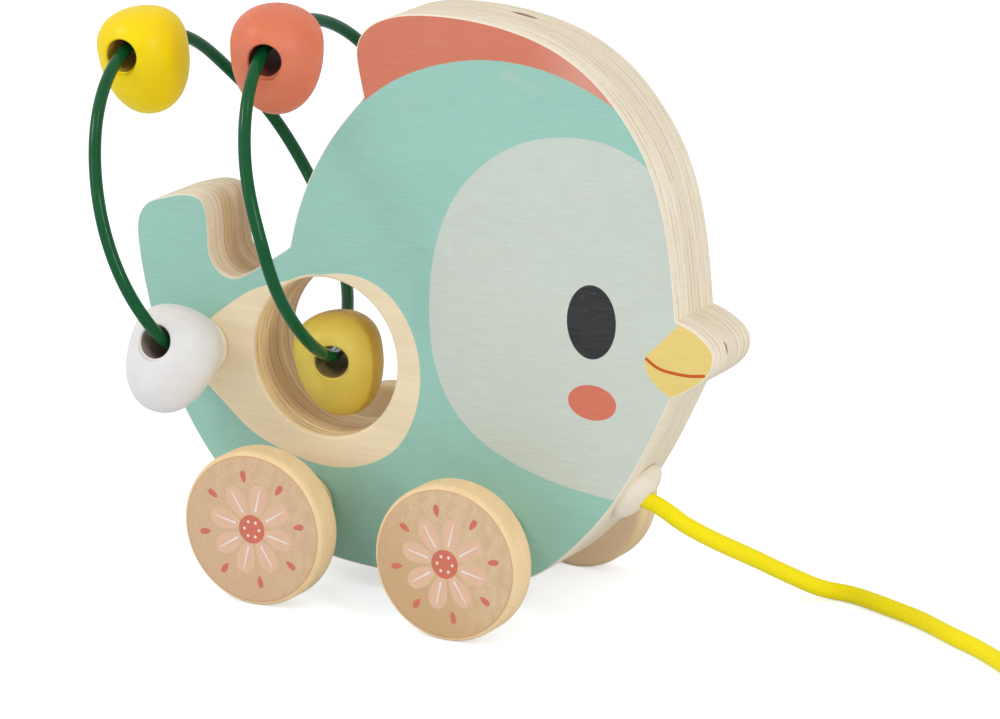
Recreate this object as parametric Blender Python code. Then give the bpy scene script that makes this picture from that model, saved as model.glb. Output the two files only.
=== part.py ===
"""Pull-along bird with a bead maze: a plywood bird on wheels, a bent wire with four beads, a pull cord.

The bird faces +X, its left side is at -Y, and the floor is at z = 0, under the middle of the toy.
"""
import bpy
import bmesh
import numpy as np
from math import cos, sin, pi, radians, ceil
from mathutils import Matrix, Vector

# Driving dimensions, in metres
MM = 0.001
GAP = 0.3 * MM                     # air left between neighbouring pieces
SLAB = 22.5 * MM                   # thickness of the plywood bird
EDGE = 0.5 * MM                    # eased edge round the slab
WINDOW_EDGE = 0.8 * MM
HOLE_RADIUS = 21.8 * MM            # round window under the wing
HOLE_X, HOLE_Z = -19.9 * MM, 61.4 * MM

WHEEL_RADIUS = 21.0 * MM
WHEEL_WIDTH = 9.5 * MM
WHEEL_FACE_Y = 41.5 * MM           # outer face of each wheel from the middle
REAR_AXLE_X, FRONT_AXLE_X = -24.2 * MM, 33.5 * MM
AXLE_RADIUS = 4.0 * MM
AXLE_BORE_RADIUS = 4.4 * MM
SPACER_RADIUS = 8.0 * MM

WIRE_RADIUS = 1.7 * MM
LOOP_RADIUS = 45.7 * MM            # both loops of the maze wire
LOOP_RISE = 48.4 * MM              # their height above the middle
LOOP_LEAN = radians(19.0)          # how far the loops lean back towards the tail
LOOP_1 = Vector((-66.0, 0, 93.8)) * MM
LOOP_2 = Vector((-20.5, 0, 102.7)) * MM
NEAR_END = Vector((-57.3, 0, 59.5)) * MM
FAR_END = Vector((17.9, 0, 62.0)) * MM
CAP_RADIUS = 8.0 * MM
CAP_HEIGHT = 3.4 * MM

BEAD_RADIUS = 12.2 * MM
BEAD_TOP, BEAD_BOTTOM = 10.5 * MM, 18.6 * MM   # above and below the widest level
BEAD_BORE_RADIUS = 4.5 * MM
BEAD_BORE_UP = 4.2 * MM            # bore above the middle of the bead's height

CORD_RADIUS = 2.3 * MM
PLUG_RADIUS = 8.8 * MM
PLUG_HEIGHT = 5.4 * MM
PLUG_SEAT = Vector((67.1, 0, 36.0)) * MM       # on the chest, where the cord leaves
PLUG_AXIS = Vector((0.83, 0, -0.56)).normalized()
COIL_CENTRE = Vector((206.0, 16.0, 0)) * MM
COIL_RADIUS = 30.0 * MM
COIL_PITCH = 5.2 * MM              # from one turn to the next
COIL_RISE = 5.1 * MM               # from one layer to the next
COIL_TURNS = 3.0
COIL_START = radians(-110.0)
TIE_THICKNESS = 0.8 * MM
PULL_BEAD_RADIUS = 10.0 * MM


def clear_scene():
    for thing in list(bpy.data.objects):
        bpy.data.objects.remove(thing, do_unlink=True)


def finish(name, colour, roughness, metallic=0.0):
    """A plain material in the piece's own colour."""
    mat = bpy.data.materials.new(name)
    mat.use_nodes = True
    shader = mat.node_tree.nodes["Principled BSDF"]
    shader.inputs["Base Color"].default_value = (*colour, 1.0)
    shader.inputs["Roughness"].default_value = roughness
    shader.inputs["Metallic"].default_value = metallic
    return mat


def piece(name, bm, mat, sharp=35.0):
    """Turn a bmesh into a named object, with its faces pointing out."""
    bmesh.ops.recalc_face_normals(bm, faces=bm.faces)
    mesh = bpy.data.meshes.new(name)
    bm.to_mesh(mesh)
    bm.free()
    mesh.shade_smooth()
    mesh.set_sharp_from_angle(angle=radians(sharp))
    mesh.materials.append(mat)
    obj = bpy.data.objects.new(name, mesh)
    bpy.context.collection.objects.link(obj)
    return obj


def guide(obj):
    """A cutter shapes other pieces and isn't one itself."""
    obj.hide_render = True
    obj.display_type = "WIRE"
    return obj


def cut(obj, cutter):
    mod = obj.modifiers.new("cut " + cutter.name, "BOOLEAN")
    mod.operation = "DIFFERENCE"
    mod.solver = "EXACT"
    mod.object = cutter


def turned(profile, steps):
    """Spin a closed profile of (radius, height) round Z."""
    bm = bmesh.new()
    verts = [bm.verts.new((max(r, 0.0), 0, h)) for r, h in profile]
    edges = [bm.edges.new((a, b)) for a, b in zip(verts, verts[1:])]
    if profile[0][0] > 0:
        edges.append(bm.edges.new((verts[-1], verts[0])))
    bmesh.ops.spin(bm, geom=verts + edges, axis=(0, 0, 1), cent=(0, 0, 0), angle=2 * pi, steps=steps)
    bmesh.ops.remove_doubles(bm, verts=bm.verts, dist=1e-6)
    return bm


def rounded(corners, radius, steps=3):
    """A turned profile with each marked corner rounded; a corner is (r, h, rounded?)."""
    out = []
    count = len(corners)
    for i, (r, h, soft) in enumerate(corners):
        here = Vector((r, h))
        if not soft:
            out.append((r, h))
            continue
        before = (Vector(corners[i - 1][:2]) - here).normalized() * radius
        after = (Vector(corners[(i + 1) % count][:2]) - here).normalized() * radius
        for k in range(steps + 1):
            a = pi / 2 * k / steps
            out.append(tuple(here + before * (1 - sin(a)) + after * (1 - cos(a))))
    return out


def rod(radius, length, steps=24):
    """A plain round rod along Z, centred on the origin."""
    bm = bmesh.new()
    bmesh.ops.create_cone(bm, cap_ends=True, segments=steps, radius1=radius, radius2=radius, depth=length)
    return bm


def along(direction):
    """Rotation that takes +Z to a direction."""
    return Vector(direction).to_track_quat("Z", "Y")


def place(obj, at, direction=(0, 0, 1)):
    obj.rotation_mode = "QUATERNION"
    obj.location = at
    obj.rotation_quaternion = along(direction)
    return obj


def smooth_through(points, step):
    """Natural cubic spline through points, read every step or so along its length."""
    pts = np.array(points, float)
    length = np.concatenate([[0], np.cumsum(np.linalg.norm(np.diff(pts, axis=0), axis=1))])
    n = len(pts)
    gaps = np.diff(length)
    system = np.zeros((n, n))
    right = np.zeros_like(pts)
    system[0, 0] = system[-1, -1] = 1.0
    for i in range(1, n - 1):
        system[i, i - 1:i + 2] = gaps[i - 1], 2 * (gaps[i - 1] + gaps[i]), gaps[i]
        right[i] = 6 * ((pts[i + 1] - pts[i]) / gaps[i] - (pts[i] - pts[i - 1]) / gaps[i - 1])
    bend = np.linalg.solve(system, right)
    at = np.linspace(0, length[-1], max(2, ceil(length[-1] / step) + 1))
    k = np.clip(np.searchsorted(length, at, side="right") - 1, 0, n - 2)
    h, a, b = gaps[k], length[k + 1] - at, at - length[k]
    h, a, b = h[:, None], a[:, None], b[:, None]
    return (bend[k] * a ** 3 / (6 * h) + bend[k + 1] * b ** 3 / (6 * h)
            + (pts[k] / h - bend[k] * h / 6) * a + (pts[k + 1] / h - bend[k + 1] * h / 6) * b)


def path_length(points):
    return float(np.linalg.norm(np.diff(np.array(points), axis=0), axis=1).sum())


def tube(name, points, radius, resolution, mat):
    """A tube along points: a poly curve with a round bevel and closed ends."""
    curve = bpy.data.curves.new(name, "CURVE")
    curve.dimensions = "3D"
    curve.bevel_depth = radius
    curve.bevel_resolution = resolution
    curve.use_fill_caps = True
    spline = curve.splines.new("POLY")
    spline.points.add(len(points) - 1)
    for point, co in zip(spline.points, points):
        point.co = (*co, 1.0)
    spline.use_smooth = True
    curve.materials.append(mat)
    obj = bpy.data.objects.new(name, curve)
    bpy.context.collection.objects.link(obj)
    return obj


# The bird: a plywood slab cut to an outline of smooth stretches that meet at corners
CREST = [(-9.1, 133.5), (-10.9, 140.9), (-11.3, 147.3), (-8.7, 151.8), (-3.7, 155.0), (10.2, 157.8),
         (28.0, 157.3), (48.0, 152.0), (60.0, 144.2), (67.2, 136.5), (74.6, 124.9), (79.5, 110.2),
         (82.1, 95.1), (83.1, 86.1)]
BEAK = [(83.1, 86.1), (86.0, 85.2), (90.6, 82.8), (93.8, 79.3), (93.7, 75.0), (89.5, 69.9), (82.3, 65.3)]
CHEST = [(82.3, 65.3), (77.0, 53.5), (71.6, 42.7), (63.6, 30.2), (54.8, 20.0), (44.2, 11.2), (31.0, 6.8),
         (12.0, 5.3), (-8.0, 5.7), (-24.1, 8.1), (-40.2, 15.6), (-53.8, 27.9), (-63.1, 40.9), (-70.5, 56.8),
         (-74.9, 70.8), (-77.9, 85.7), (-77.9, 91.8), (-75.5, 96.1), (-70.1, 98.6), (-63.0, 100.4),
         (-58.2, 99.4), (-56.4, 95.1), (-55.9, 89.1), (-54.5, 82.7), (-49.0, 79.3), (-43.2, 81.5),
         (-30.9, 90.2)]
BACK = [(-30.9, 90.2), (-28.9, 99.1), (-25.3, 109.2), (-18.1, 122.1), (-9.1, 133.5)]
OUTLINE_STEP = 3.6


def bird_outline():
    stretches = [smooth_through(s, OUTLINE_STEP)[:-1] for s in (CREST, BEAK, CHEST, BACK)]
    return np.concatenate(stretches) * MM


def circle(x, z, radius, steps=48):
    turn = np.arange(steps) * 2 * pi / steps
    return np.stack([x + radius * np.cos(turn), z - radius * np.sin(turn)], 1)


def shifted(outline, by):
    """The outline moved outwards by a small distance (it runs clockwise seen from -Y)."""
    before, after = np.roll(outline, 1, 0), np.roll(outline, -1, 0)
    run_in = outline - before
    run_out = after - outline
    run_in /= np.linalg.norm(run_in, axis=1)[:, None]
    run_out /= np.linalg.norm(run_out, axis=1)[:, None]
    normal = np.stack([-(run_in + run_out)[:, 1], (run_in + run_out)[:, 0]], 1)
    normal /= np.linalg.norm(normal, axis=1)[:, None]
    return outline + normal * by


def slab(outline, levels):
    """A solid of stacked rings; each level is (y, how far the outline is moved out there)."""
    bm = bmesh.new()
    rings = []
    for y, by in levels:
        rings.append([bm.verts.new((x, y, z)) for x, z in shifted(outline, by)])
    for low, high in zip(rings, rings[1:]):
        for i in range(len(low)):
            j = (i + 1) % len(low)
            bm.faces.new((low[i], low[j], high[j], high[i]))
    bm.faces.new(rings[0])
    bm.faces.new(rings[-1])
    return bm


def eased(half, edge, sign=-1.0):
    """Levels across a slab whose edges are rounded off; sign +1 flares a cutter instead."""
    quarter = [(1 - cos(a), 1 - sin(a)) for a in (0.0, pi / 4, pi / 2)]
    low = [(-half + down * edge, sign * back * edge) for down, back in quarter]
    return low + [(-y, by) for y, by in reversed(low)]


def make_body(mat):
    body = piece("bird_body", slab(bird_outline(), eased(SLAB / 2, EDGE)), mat, sharp=50)
    levels = eased(SLAB / 2, WINDOW_EDGE, sign=1.0)
    levels = [(-SLAB / 2 - MM, WINDOW_EDGE)] + levels + [(SLAB / 2 + MM, WINDOW_EDGE)]
    window = piece("window_cutter", slab(circle(HOLE_X, HOLE_Z, HOLE_RADIUS), levels), mat)
    cut(body, guide(window))
    for name, x in (("rear_bore_cutter", REAR_AXLE_X), ("front_bore_cutter", FRONT_AXLE_X)):
        bore = piece(name, rod(AXLE_BORE_RADIUS, SLAB + 4 * MM), mat)
        cut(body, guide(place(bore, (x, 0, WHEEL_RADIUS), (0, 1, 0))))
    for name, end, side in (("near_socket_cutter", NEAR_END, -1), ("far_socket_cutter", FAR_END, 1)):
        socket = piece(name, rod(WIRE_RADIUS + GAP + 0.1 * MM, 2 * SOCKET_DEPTH, 16), mat)
        cut(body, guide(place(socket, end + Vector((0, side * SLAB / 2, 0)), (0, 1, 0))))
    seat = piece("plug_seat_cutter", rod(PLUG_RADIUS + GAP, 2 * PLUG_HEIGHT, 32), mat)
    cut(body, guide(place(seat, PLUG_SEAT + PLUG_AXIS * (PLUG_HEIGHT - SEAT_DEPTH), PLUG_AXIS)))
    chamber = piece("knot_chamber_cutter", rod(CHAMBER_RADIUS, 2 * CHAMBER_DEPTH), mat)
    cut(body, guide(place(chamber, PLUG_SEAT, PLUG_AXIS)))
    return body


# The wheels turn with their axles, and wooden spacers keep them off the bird
WHEEL_BORE_DEPTH = 6.5 * MM
WHEEL_STEPS = 36


def make_wheel(name, x, side, mat):
    r, w, b = WHEEL_RADIUS, WHEEL_WIDTH, AXLE_RADIUS + GAP
    corners = [(0, w, False), (r, w, True), (r, 0, True), (b, 0, False), (b, WHEEL_BORE_DEPTH, False),
               (0, WHEEL_BORE_DEPTH, False)]
    wheel = piece(name, turned(rounded(corners, 1.8 * MM), WHEEL_STEPS), mat, sharp=50)
    return place(wheel, (x, side * (WHEEL_FACE_Y - WHEEL_WIDTH), WHEEL_RADIUS), (0, side, 0))


def make_axle(name, x, mat):
    half = WHEEL_FACE_Y - WHEEL_WIDTH + WHEEL_BORE_DEPTH - GAP
    return place(piece(name, rod(AXLE_RADIUS, 2 * half), mat), (x, 0, WHEEL_RADIUS), (0, 1, 0))


def make_spacer(name, x, side, mat):
    inner, outer = SLAB / 2 + GAP, WHEEL_FACE_Y - WHEEL_WIDTH - GAP
    b, length = AXLE_RADIUS + GAP, outer - inner
    corners = [(b, length, False), (SPACER_RADIUS, length, True), (SPACER_RADIUS, 0, True), (b, 0, False)]
    spacer = piece(name, turned(rounded(corners, 1.0 * MM, 2), 24), mat, sharp=50)
    return place(spacer, (x, side * inner, WHEEL_RADIUS), (0, side, 0))


# The maze wire is one length, bent in two leaning loops and let into the bird at both ends
SOCKET_DEPTH = 8.0 * MM
WIRE_STEP = 5.0 * MM
LEAVING = [(-57.3, -15.5, 59.5), (-55, -24.5, 61.4), (-54.8, -33.2, 65.1), (-56.2, -39.7, 71),
           (-59.4, -43.8, 78.7), (-62.9, -45.9, 87.1)]
LOOP_1_STOPS = (178, 160, 140, 120, 100, 80, 60, 42)
CROSSING = [(-69.4, 40.5, 114.2), (-61.8, 42.6, 103.9), (-53.7, 41.1, 93.8), (-45.5, 37, 84.4),
            (-37.9, 30.2, 76.1), (-31.2, 21.2, 69.0), (-25.8, 10.5, 63.1), (-20.8, -2.0, 61.1),
            (-17.0, -14.3, 63.1), (-15.9, -26.5, 69.7), (-16.5, -36.1, 79), (-17.8, -43.1, 90.3)]
LOOP_2_STOPS = (184, 165, 145, 125, 105, 85, 65, 45, 27)
RETURNING = [(-19.5, 45.9, 106), (-14.1, 44.3, 96.3), (-8.4, 41.6, 87), (-1.9, 37.4, 78.8),
             (4.8, 31.6, 71.9), (11.3, 24.2, 66.3), (17.8, 15.8, 62)]
RISE = Vector((-sin(LOOP_LEAN), 0, cos(LOOP_LEAN)))


def loop_points(centre, stops):
    """Points round a loop; 180 degrees is its near side, 90 the top and 0 the far side."""
    turns = [radians(stop) for stop in stops]
    return [centre + LOOP_RADIUS * cos(a) * Vector((0, 1, 0)) + LOOP_RISE * sin(a) * RISE for a in turns]


def wire_path():
    route = [NEAR_END - Vector((0, SLAB / 2, 0))] + [Vector(p) * MM for p in LEAVING]
    route += loop_points(LOOP_1, LOOP_1_STOPS) + [Vector(p) * MM for p in CROSSING]
    route += loop_points(LOOP_2, LOOP_2_STOPS) + [Vector(p) * MM for p in RETURNING]
    route.append(FAR_END + Vector((0, SLAB / 2, 0)))
    free = smooth_through(route, WIRE_STEP)
    inside = np.array((0, SOCKET_DEPTH - GAP, 0))
    return np.concatenate([[free[0] + inside], free, [free[-1] - inside]])


def make_cap(name, end, side, mat):
    """A turned wooden button round the wire's end, with a shallow dome."""
    b = WIRE_RADIUS + GAP + 0.1 * MM
    rim = 0.9 * MM
    dome = [(CAP_RADIUS * cos(a), rim + (CAP_HEIGHT - rim) * sin(a)) for a in np.radians([0, 25, 50, 68])]
    profile = [(b, 0), (CAP_RADIUS - 0.3 * MM, 0)] + dome + [(b, CAP_HEIGHT)]
    cap = piece(name, turned(profile, 32), mat, sharp=50)
    return place(cap, end + Vector((0, side * (SLAB / 2 + GAP), 0)), (0, side, 0))


# The beads hang on the wire: round, broad above and narrower below, drilled across above the middle
BEAD_STEPS = 24


def bead_profile(scale):
    middle = (BEAD_TOP - BEAD_BOTTOM) / 2
    profile = []
    for share in np.cos(np.linspace(0, pi, 17)):
        reach, power = (BEAD_TOP, 2.33) if share > 0 else (BEAD_BOTTOM, 2.17)
        radius = BEAD_RADIUS * (1 - abs(share) ** power) ** (1 / power)
        profile.append((radius * scale, (share * reach - middle) * scale))
    profile[0] = (0.0, profile[0][1])
    profile[-1] = (0.0, profile[-1][1])
    return profile


def make_bead(name, at, yaw, pitch, roll, scale, bend, mat):
    """Hung from an empty in the middle of the wire's bend, about which the bead slides.

    yaw turns the bore's near end towards +X, pitch lifts that end, roll tips the bead's top towards +X.
    """
    middle = bpy.data.objects.new(name + "_bend", None)
    middle.location = Vector(bend) * MM
    bpy.context.collection.objects.link(middle)
    bead = piece(name, turned(bead_profile(scale), BEAD_STEPS), mat, sharp=50)
    bead.parent = middle
    turn = (Matrix.Rotation(radians(yaw), 4, "Z") @ Matrix.Rotation(radians(-pitch), 4, "X")
            @ Matrix.Rotation(radians(roll), 4, "Y"))
    bead.matrix_basis = Matrix.Translation((Vector(at) - Vector(bend)) * MM) @ turn
    bore = piece(name + "_bore_cutter", rod(BEAD_BORE_RADIUS, 4 * BEAD_RADIUS, 20), mat)
    bore.parent = bead
    bore.matrix_basis = Matrix.Translation((0, 0, BEAD_BORE_UP * scale)) @ Matrix.Rotation(pi / 2, 4, "X")
    cut(bead, guide(bore))
    return bead


# The pull cord leaves through a wooden button on the chest, and its knot sits in a chamber behind it
SEAT_DEPTH = 1.0 * MM
CHAMBER_RADIUS = 5.6 * MM
CHAMBER_DEPTH = 15.0 * MM
STEM_LENGTH = 5.0 * MM
KNOT_RADIUS = 4.6 * MM
CORD_STEP = 11.0 * MM
COIL_HEIGHT = TIE_THICKNESS + GAP + CORD_RADIUS + 0.1 * MM
COIL_LOOP_POINTS = 24
ROUTE = [(74.6, 1.0, 31.8), (78.8, 4.0, 27.9), (82.5, 8.5, 24.1), (85.8, 14.0, 20.4), (88.9, 20.0, 16.8),
         (91.8, 26.5, 13.0), (95.0, 32.5, 9.2), (98.9, 38.0, 5.6), (103.6, 41.9, 3.0), (109.5, 43.2, 2.4),
         (116.5, 41.4, 2.4), (124.5, 38.0, 2.4), (135.6, 32.9, 2.4), (147.0, 25.6, 2.4), (158.8, 18.3, 2.4),
         (171.0, 8.8, 2.4), (181.0, -0.8, 2.6)]


def make_plug(mat):
    b = CORD_RADIUS + GAP
    rim = 1.6 * MM
    turns = np.radians([0, 22, 44, 60, 71])
    dome = [(PLUG_RADIUS * cos(a), rim + (PLUG_HEIGHT - rim) * sin(a)) for a in turns]
    stem = CHAMBER_RADIUS - GAP
    profile = [(b, -STEM_LENGTH), (stem, -STEM_LENGTH), (stem, 0), (PLUG_RADIUS - 0.3 * MM, 0)] + dome
    profile.append((b, PLUG_HEIGHT))
    plug = piece("cord_plug", turned(profile, 32), mat, sharp=50)
    return place(plug, PLUG_SEAT - PLUG_AXIS * (SEAT_DEPTH - GAP), PLUG_AXIS)


def knot(name, at, direction, radius, mat):
    """A tight knot, as a slightly flattened lump."""
    bm = bmesh.new()
    bmesh.ops.create_uvsphere(bm, u_segments=16, v_segments=10, radius=radius)
    bmesh.ops.scale(bm, vec=(1, 1, 0.9), verts=bm.verts)
    return place(piece(name, bm, mat), at, direction)


def coil_point(turns):
    """The coil spirals in for half its turns and out again, climbing a layer as it reverses."""
    half = COIL_TURNS / 2
    radius = COIL_RADIUS - COIL_PITCH * (half - abs(turns - half))
    climb = min(max((turns - half + 0.25) / 0.5, 0.0), 1.0)
    height = COIL_HEIGHT + COIL_RISE * (1 - cos(pi * climb)) / 2
    angle = COIL_START + 2 * pi * turns
    return COIL_CENTRE + Vector((radius * cos(angle), radius * sin(angle), height))


def coil_points():
    count = int(COIL_LOOP_POINTS * COIL_TURNS)
    loops = [coil_point(k / COIL_LOOP_POINTS) for k in range(count + 1)]
    straight = 2 * CORD_RADIUS
    first = loops[0] - (loops[1] - loops[0]).normalized() * straight
    last = loops[-1] + (loops[-1] - loops[-2]).normalized() * straight
    return [first] + loops + [last]


def least_gap(points, radius):
    """Least air between parts of a tube that aren't next to each other along it."""
    pts = np.array(points)
    at = np.concatenate([[0], np.cumsum(np.linalg.norm(np.diff(pts, axis=0), axis=1))])
    fine = np.linspace(0, at[-1], 1200)
    dense = np.stack([np.interp(fine, at, pts[:, i]) for i in range(3)], 1)
    apart = np.linalg.norm(dense[:, None] - dense[None], axis=2)
    apart[np.abs(fine[:, None] - fine[None]) < 12 * radius] = np.inf
    return apart.min() - 2 * radius


def make_tie(mat):
    """A flat band round the coil's strands, on its side towards +X and -Y."""
    turns = 0.14
    strands = [coil_point(turns + k) for k in range(int(COIL_TURNS))]
    outward = (strands[0] - COIL_CENTRE)
    outward.z = 0
    outward.normalize()
    spread = [(s - COIL_CENTRE).dot(outward) for s in strands]
    heights = [s.z for s in strands]
    room = CORD_RADIUS + GAP + 0.1 * MM
    low = Vector((min(spread) - room, min(heights) - room))
    high = Vector((max(spread) + room, max(heights) + room))
    corners = [(low.x, low.y, True), (low.x, high.y, True), (high.x, high.y, True), (high.x, low.y, True)]
    ring = rounded(corners, 1.2 * MM, 2)
    middle = (low + high) / 2
    grow = [1 + 2 * TIE_THICKNESS / (high.x - low.x), 1 + 2 * TIE_THICKNESS / (high.y - low.y)]
    outer = [(middle.x + (r - middle.x) * grow[0], middle.y + (h - middle.y) * grow[1]) for r, h in ring]
    side = Vector((-outward.y, outward.x, 0))
    bm = bmesh.new()
    loops = []
    for outline, offset in ((ring, -2.0), (outer, -2.0), (outer, 2.0), (ring, 2.0)):
        base = COIL_CENTRE + side * offset * MM
        loops.append([bm.verts.new(base + outward * r + Vector((0, 0, h))) for r, h in outline])
    for low_loop, high_loop in zip(loops, loops[1:] + loops[:1]):
        for i in range(len(ring)):
            j = (i + 1) % len(ring)
            bm.faces.new((low_loop[i], low_loop[j], high_loop[j], high_loop[i]))
    return piece("cord_tie", bm, mat)


def make_cord(cord, wood, tie):
    exit_point = PLUG_SEAT + PLUG_AXIS * (PLUG_HEIGHT - SEAT_DEPTH)
    coil = coil_points()
    into_coil = (coil[1] - coil[0]).normalized()
    meeting = coil[0] - into_coil * GAP
    start = PLUG_SEAT - PLUG_AXIS * (STEM_LENGTH + SEAT_DEPTH)
    route = [exit_point] + [Vector(p) * MM for p in ROUTE] + [meeting - into_coil * 2 * CORD_RADIUS]
    run = np.concatenate([[start], smooth_through(route, CORD_STEP), [meeting]])
    tube("pull_cord", run, CORD_RADIUS, 2, cord)
    tube("cord_coil", coil, CORD_RADIUS, 1, cord)
    knot("anchor_knot", start - PLUG_AXIS * (KNOT_RADIUS + GAP), PLUG_AXIS, KNOT_RADIUS, cord)

    leave = (coil[-1] - coil[-2]).normalized()
    heading = Vector((0.80, -0.60, 0))
    bead_at = COIL_CENTRE + Vector((13.5 * MM, -42.5 * MM, PULL_BEAD_RADIUS))
    knot_at = bead_at + heading * (PULL_BEAD_RADIUS + KNOT_RADIUS)
    first = coil[-1] + leave * GAP
    last = knot_at - heading * (KNOT_RADIUS * 0.9 + GAP)
    middle = smooth_through([first + leave * 2 * CORD_RADIUS, bead_at - heading * PULL_BEAD_RADIUS], 5 * MM)
    tail = np.concatenate([[first], middle, [last]])
    tube("cord_end", tail, CORD_RADIUS, 2, cord)
    knot("end_knot", knot_at, heading, KNOT_RADIUS, cord)
    ball = bmesh.new()
    bmesh.ops.create_uvsphere(ball, u_segments=24, v_segments=14, radius=PULL_BEAD_RADIUS)
    pull_bead = place(piece("pull_bead", ball, wood), bead_at, heading)
    bore = piece("pull_bead_bore_cutter", rod(CORD_RADIUS + 2.2 * GAP, 3 * PULL_BEAD_RADIUS, 20), wood)
    cut(pull_bead, guide(place(bore, bead_at, heading)))
    make_tie(tie)

    whole = path_length(run) + path_length(coil) + path_length(tail) + 4 * GAP
    print("cord length in metres:", round(whole, 4))
    print("coil's least gap to itself in mm:", round(least_gap(coil, CORD_RADIUS) / MM, 2))


def build():
    clear_scene()
    plywood = finish("painted plywood", (0.31, 0.57, 0.47), 0.5)
    beech = finish("beech", (0.68, 0.45, 0.25), 0.55)
    pale_wood = finish("pale wood", (0.78, 0.66, 0.48), 0.5)
    coated = finish("green coated wire", (0.02, 0.13, 0.05), 0.3)
    cord = finish("yellow cord", (0.86, 0.70, 0.01), 0.9)
    band = finish("paper band", (0.8, 0.78, 0.72), 0.8)
    paints = {"yellow": (0.90, 0.65, 0.01), "coral": (0.72, 0.20, 0.10), "white": (0.82, 0.80, 0.77),
              "mustard": (0.64, 0.45, 0.07)}

    make_body(plywood)
    for end, x in (("rear", REAR_AXLE_X), ("front", FRONT_AXLE_X)):
        make_axle(end + "_axle", x, beech)
        for label, side in (("left", -1), ("right", 1)):
            make_wheel(end + "_wheel_" + label, x, side, beech)
            make_spacer(end + "_spacer_" + label, x, side, beech)
    tube("maze_wire", wire_path(), WIRE_RADIUS, 2, coated)
    make_cap("wire_cap_left", NEAR_END, -1, pale_wood)
    make_cap("wire_cap_right", FAR_END, 1, pale_wood)
    for name, at, yaw, pitch, roll, scale, bend in (
            ("yellow", (-79.8, -4.4, 133.7), 1.0, -5.0, -10.4, 1.0, (-67.0, 0, 96.7)),
            ("coral", (-35.1, -11.5, 140.5), 13.3, -10.1, 2.6, 1.01, (-19.1, 0.7, 105.2)),
            ("white", (-57.3, -28.0, 59.3), -0.8, 17.4, 12.6, 1.0, (-38.4, -13.8, 88.9)),
            ("mustard", (-19.6, -3.0, 57.9), 20.3, -4.4, -9.4, 0.975, (-30.8, -5.5, 94.0))):
        paint = finish(name + " paint", paints[name], 0.3)
        make_bead("bead_" + name, at, yaw, pitch, roll, scale, bend, paint)
    make_plug(pale_wood)
    make_cord(cord, pale_wood, band)


build()
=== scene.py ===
from math import ceil, cos, pi, radians, sin

import bmesh
import bpy
import numpy as np
from mathutils import Matrix, Vector
from mathutils.geometry import delaunay_2d_cdt


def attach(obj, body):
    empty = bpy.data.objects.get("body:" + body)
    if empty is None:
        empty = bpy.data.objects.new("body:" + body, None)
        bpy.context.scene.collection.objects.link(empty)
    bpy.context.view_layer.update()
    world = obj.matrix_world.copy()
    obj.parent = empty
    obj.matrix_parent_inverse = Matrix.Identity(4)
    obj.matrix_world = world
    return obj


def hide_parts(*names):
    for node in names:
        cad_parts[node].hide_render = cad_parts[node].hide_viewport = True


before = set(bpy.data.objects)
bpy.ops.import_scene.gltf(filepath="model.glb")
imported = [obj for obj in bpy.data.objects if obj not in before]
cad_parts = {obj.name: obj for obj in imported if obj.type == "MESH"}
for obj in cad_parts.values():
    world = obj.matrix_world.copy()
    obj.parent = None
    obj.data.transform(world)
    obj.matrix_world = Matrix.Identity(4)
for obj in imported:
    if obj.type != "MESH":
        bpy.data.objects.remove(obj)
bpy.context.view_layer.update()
MM = 0.001
GAP = 0.3 * MM


# The studio: the camera stands to the bird's front left, a little above it, with a long lens.
# A soft lamp hangs on the left and a small one overhead, narrow ones stand in front and on the right, and the
# room is white.
CAMERA_AZIMUTH = radians(27.516)
CAMERA_HEIGHT_ANGLE = radians(15.676)
CAMERA_ROLL = radians(1.172)
CAMERA_DISTANCE = 1.431437
CAMERA_TARGET = Vector((26.8, 0, 65.087)) * MM
CAMERA_LENS = 195.72
ROOM_GLOW = 0.67
PAPER_LIFT = 0.52
PAPER_COLOUR = (0.80, 0.845, 0.92, 1)
WHITE = (1, 1, 1, 1)


def placed(name, data):
    """A mesh, lamp or camera as an object in the scene."""
    made = bpy.data.objects.new(name, data)
    bpy.context.collection.objects.link(made)
    return made


def softbox(name, at, aim, size, power):
    """An oblong lamp at one place that shines at another."""
    light = bpy.data.lights.new(name, "AREA")
    light.shape = "RECTANGLE"
    light.size, light.size_y = size
    light.energy = power
    lamp = placed(name, light)
    lamp.location = at
    lamp.rotation_euler = (Vector(aim) - Vector(at)).to_track_quat("-Z", "Y").to_euler()


def mesh_piece(name, bm):
    """Turn a finished bmesh into an object."""
    mesh = bpy.data.meshes.new(name)
    bm.to_mesh(mesh)
    bm.free()
    return placed(name, mesh)


def dress(piece, *finishes):
    """Give a piece its materials, in this order."""
    for made in finishes:
        piece.data.materials.append(made)


def node(tree, kind, **settings):
    """A shader node; kind is the end of its type's name."""
    made = tree.nodes.new("ShaderNode" + kind)
    for name, value in settings.items():
        setattr(made, name, value)
    return made


def link(start, end):
    end.id_data.links.new(start, end)


def put(value, slot):
    """Give a shader input a socket, a number or a colour; one of three numbers is as it looks on screen."""
    if isinstance(value, bpy.types.NodeSocket):
        link(value, slot)
    elif value is not None:
        slot.default_value = linear(value) if isinstance(value, tuple) and len(value) == 3 else value


def maths(operation, a, b=None):
    """A Math node; a and b are sockets or plain numbers, at least one a socket."""
    tree = (a if isinstance(a, bpy.types.NodeSocket) else b).id_data
    made = node(tree, "Math", operation=operation)
    put(a, made.inputs[0])
    put(b, made.inputs[1])
    return made.outputs[0]


def stepped(value, low, high, out_low=0.0, out_high=1.0):
    """A smooth Map Range of a value between two levels."""
    made = node(value.id_data, "MapRange", interpolation_type="SMOOTHSTEP")
    link(value, made.inputs["Value"])
    for title, number in (("From Min", low), ("From Max", high), ("To Min", out_low), ("To Max", out_high)):
        made.inputs[title].default_value = number
    return made.outputs["Result"]


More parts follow.
